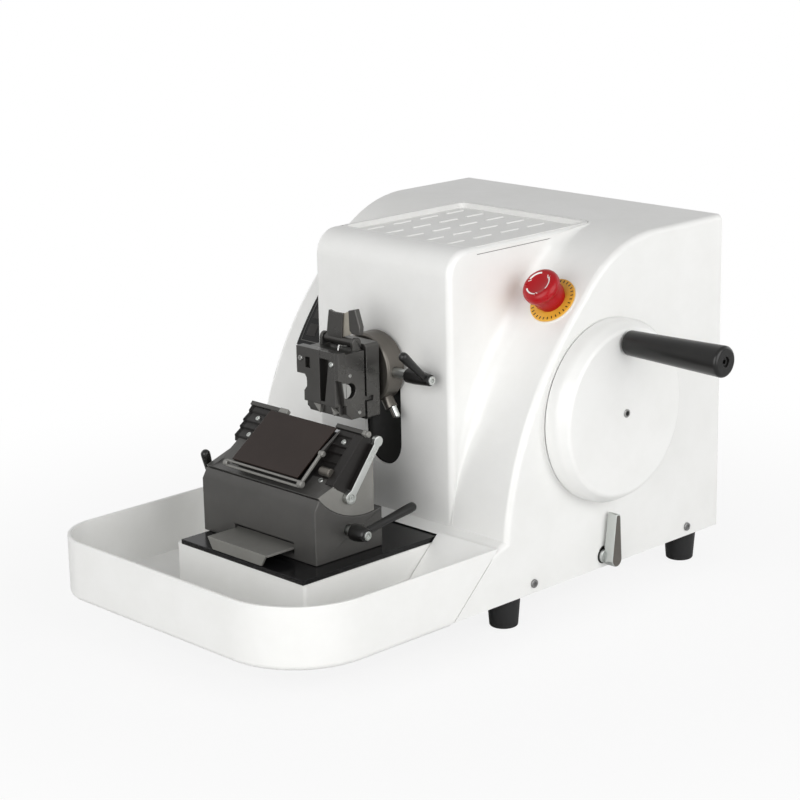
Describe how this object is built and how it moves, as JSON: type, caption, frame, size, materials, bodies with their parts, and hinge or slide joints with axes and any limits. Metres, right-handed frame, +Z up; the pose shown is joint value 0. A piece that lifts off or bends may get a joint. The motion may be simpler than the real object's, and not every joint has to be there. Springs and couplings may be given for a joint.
{
  "type": "rotary microtome",
  "caption": "Bench rotary microtome with side handwheel, emergency stop, cassette clamp, blade holder with glass guard and a wraparound waste tray.",
  "frame": {"origin": "middle of the footprint of the whole machine with its handwheel and tray, on the table plane under the feet", "axes": "+X towards the handwheel on the operator's right, +Y to the back (the tray is in front, at -Y), +Z up"},
  "size_m": [0.4166, 0.4886, 0.3],
  "materials": {
    "white_enamel": "semi-gloss white enamel",
    "white_plastic": "semi-gloss white moulding",
    "grey_casting": "dark painted casting",
    "dark_rubber": "matt",
    "zinc_screws": "zinc plated",
    "panel_black": "glossy black keypad foil",
    "signal_yellow": "plain yellow disc",
    "signal_red": "glossy red",
    "black_plastic": "matt black",
    "bright_steel": "bright plated",
    "ground_steel": "ground",
    "plain_aluminium": "milled",
    "black_anodised": "black anodised",
    "anthracite": "dark grey paint",
    "rocker_grey": "satin grey",
    "dark_nickel": "dark nickel",
    "clamp_steel": "dark satin steel",
    "bronze": "bearing bronze",
    "blade_steel": "polished",
    "smoked_glass": "dark smoked glass",
    "belt_rubber": "matt",
    "board_green": "green laminate"
  },
  "bodies": {
    "frame": {"base_casting": "grey_casting", "feet": "dark_rubber", "main_cover": "white_enamel", "housing_screws": "zinc_screws", "rear_panel": "white_enamel", "control_panel": "panel_black", "stop_plate": "signal_yellow", "stop_body": "black_plastic", "shaft_bearings": "ground_steel", "drive_frame": "plain_aluminium", "drive_belt": "belt_rubber", "drive_motor": "black_anodised", "motor_mount": "plain_aluminium", "slide_frame": "plain_aluminium", "slide_rails": "ground_steel", "knife_plate": "black_anodised", "power_inlet": "black_plastic", "power_supply": "plain_aluminium", "control_board": "board_green"},
    "storage_tray": {"storage_tray": "white_plastic"},
    "waste_tray": {"waste_tray": "white_plastic"},
    "drive": {"handwheel": "white_enamel", "wheel_screw": "bright_steel", "grip_bolt": "ground_steel", "main_shaft": "ground_steel", "crank_disc": "ground_steel", "driven_pulley": "plain_aluminium"},
    "crank_grip": {"crank_grip": "black_plastic"},
    "motor_pulley": {"motor_pulley": "plain_aluminium"},
    "carriage": {"vertical_carriage": "plain_aluminium", "ram_bushes": "bronze", "feed_motor": "black_anodised", "slot_shutter": "black_plastic"},
    "feed": {"feed_ram": "ground_steel", "feed_nut": "bronze", "head_drum": "dark_nickel", "drum_screw": "dark_nickel"},
    "feed_screw": {"feed_screw": "ground_steel"},
    "tilt_ball": {"tilt_ball": "ground_steel"},
    "clamp": {"clamp_body": "clamp_steel", "fixed_jaw": "clamp_steel"},
    "moving_jaw": {"moving_jaw": "clamp_steel"},
    "clamp_lever": {"clamp_lever": "clamp_steel"},
    "head_lever": {"head_lever": "black_plastic"},
    "holder": {"holder_base": "anthracite"},
    "plate_lever": {"plate_lever": "dark_nickel"},
    "rocker": {"holder_rocker": "rocker_grey", "blade_support": "dark_nickel", "blade": "blade_steel"},
    "guard": {"guard_plate": "smoked_glass", "guard_frame": "dark_nickel"},
    "finger_guard_left": {"finger_guard_left": "bright_steel"},
    "finger_guard_right": {"finger_guard_right": "bright_steel"},
    "blade_lever": {"blade_lever": "bright_steel"},
    "arc_lever": {"arc_lever": "black_plastic"},
    "shift_lever": {"shift_lever": "black_plastic"},
    "stop_stem": {"stop_stem": "black_plastic"},
    "stop_head": {"stop_head": "signal_red"},
    "wheel_lock_lever": {"wheel_lock_lever": "bright_steel"},
    "power_switch": {"power_switch": "black_plastic"}
  },
  "joints": [
    {"name": "storage_tray_lift", "type": "slide", "parent": "frame", "child": "storage_tray", "axis": [0, 0, 1], "range_m": [0, 0.06]},
    {"name": "waste_tray_pull", "type": "slide", "parent": "frame", "child": "waste_tray", "axis": [0, -1, 0], "range_m": [0, 0.15]},
    {"name": "drive_turn", "type": "hinge", "parent": "frame", "child": "drive", "pos_m": [-0.0587, 0.09467, 0.1636], "axis": [1, 0, 0], "continuous": true},
    {"name": "grip_spin", "type": "hinge", "parent": "drive", "child": "crank_grip", "pos_m": [-0.0587, 0.09467, 0.2216], "axis": [1, 0, 0], "continuous": true},
    {"name": "motor_turn", "type": "hinge", "parent": "frame", "child": "motor_pulley", "pos_m": [-0.0587, 0.19667, 0.076], "axis": [1, 0, 0], "continuous": true},
    {"name": "carriage_stroke", "type": "slide", "parent": "frame", "child": "carriage", "axis": [0, 0, 1], "range_m": [-0.06, 0]},
    {"name": "specimen_feed", "type": "slide", "parent": "carriage", "child": "feed", "axis": [0, -1, 0], "range_m": [0, 0.028]},
    {"name": "feed_screw_turn", "type": "hinge", "parent": "carriage", "child": "feed_screw", "pos_m": [-0.0467, -0.00833, 0.2], "axis": [0, 1, 0], "range_deg": [0, 2521]},
    {"name": "head_tilt", "type": "hinge", "parent": "feed", "child": "tilt_ball", "pos_m": [-0.0587, -0.03383, 0.2], "axis": [1, 0, 0], "range_deg": [-7, 7]},
    {"name": "head_swivel", "type": "hinge", "parent": "tilt_ball", "child": "clamp", "pos_m": [-0.0467, -0.03383, 0], "axis": [0, 0, 1], "range_deg": [-7, 7]},
    {"name": "clamp_lever_turn", "type": "hinge", "parent": "clamp", "child": "clamp_lever", "pos_m": [-0.0587, -0.06632, 0.228], "axis": [1, 0, 0], "range_deg": [0, 70]},
    {"name": "jaw_opening", "type": "slide", "parent": "clamp", "child": "moving_jaw", "axis": [1, 0, 0], "range_m": [0, 0.004]},
    {"name": "head_lever_turn", "type": "hinge", "parent": "feed", "child": "head_lever", "pos_m": [-0.0587, -0.03383, 0.2], "axis": [1, 0, 0], "range_deg": [-45, 40]},
    {"name": "holder_slide", "type": "slide", "parent": "frame", "child": "holder", "axis": [0, -1, 0], "range_m": [0, 0.025]},
    {"name": "plate_lever_lift", "type": "hinge", "parent": "holder", "child": "plate_lever", "pos_m": [-0.0587, -0.14433, 0.0825], "axis": [-1, 0, 0], "range_deg": [0, 35]},
    {"name": "blade_angle", "type": "hinge", "parent": "holder", "child": "rocker", "pos_m": [-0.0587, -0.09532, 0.1655], "axis": [1, 0, 0], "range_deg": [-5, 5]},
    {"name": "guard_fold", "type": "hinge", "parent": "rocker", "child": "guard", "pos_m": [-0.0587, -0.14118, 0.13503], "axis": [1, 0, 0], "range_deg": [0, 120]},
    {"name": "finger_guard_left_slide", "type": "slide", "parent": "rocker", "child": "finger_guard_left", "axis": [1, 0, 0], "range_m": [-0.005, 0.005]},
    {"name": "finger_guard_right_slide", "type": "slide", "parent": "rocker", "child": "finger_guard_right", "axis": [-1, 0, 0], "range_m": [-0.005, 0.005]},
    {"name": "blade_lever_turn", "type": "hinge", "parent": "rocker", "child": "blade_lever", "pos_m": [-0.0587, -0.11332, 0.121], "axis": [1, 0, 0], "range_deg": [0, 60]},
    {"name": "arc_lever_turn", "type": "hinge", "parent": "holder", "child": "arc_lever", "pos_m": [-0.0587, -0.11432, 0.095], "axis": [1, 0, 0], "range_deg": [-15, 90]},
    {"name": "shift_lever_turn", "type": "hinge", "parent": "holder", "child": "shift_lever", "pos_m": [-0.0587, -0.13232, 0.108], "axis": [1, 0, 0], "range_deg": [-40, 40]},
    {"name": "stop_press", "type": "slide", "parent": "frame", "child": "stop_stem", "axis": [0, 0.7193, -0.6947], "range_m": [0, 0.004], "stiffness_N_per_m": 800, "springref_m": -0.003},
    {"name": "stop_twist", "type": "hinge", "parent": "stop_stem", "child": "stop_head", "pos_m": [0.0613, 0.06402, 0.25239], "axis": [0, -0.7193, 0.6947], "range_deg": [0, 60], "stiffness_Nm_per_rad": 0.02},
    {"name": "wheel_lock_turn", "type": "hinge", "parent": "frame", "child": "wheel_lock_lever", "pos_m": [-0.0587, 0.09267, 0.043], "axis": [1, 0, 0], "range_deg": [-35, 35]},
    {"name": "switch_rock", "type": "hinge", "parent": "frame", "child": "power_switch", "pos_m": [-0.0587, 0.23933, 0.118], "axis": [1, 0, 0], "range_deg": [-8, 8]}
  ],
  "couplings": [
    {"joint": "motor_turn", "follows": "drive_turn", "ratio": 3.2556},
    {"joint": "feed_screw_turn", "follows": "specimen_feed", "rad_per_m": 1570.8},
    {"joint": "clamp_lever_turn", "follows": "jaw_opening", "rad_per_m": 305.13}
  ]
}
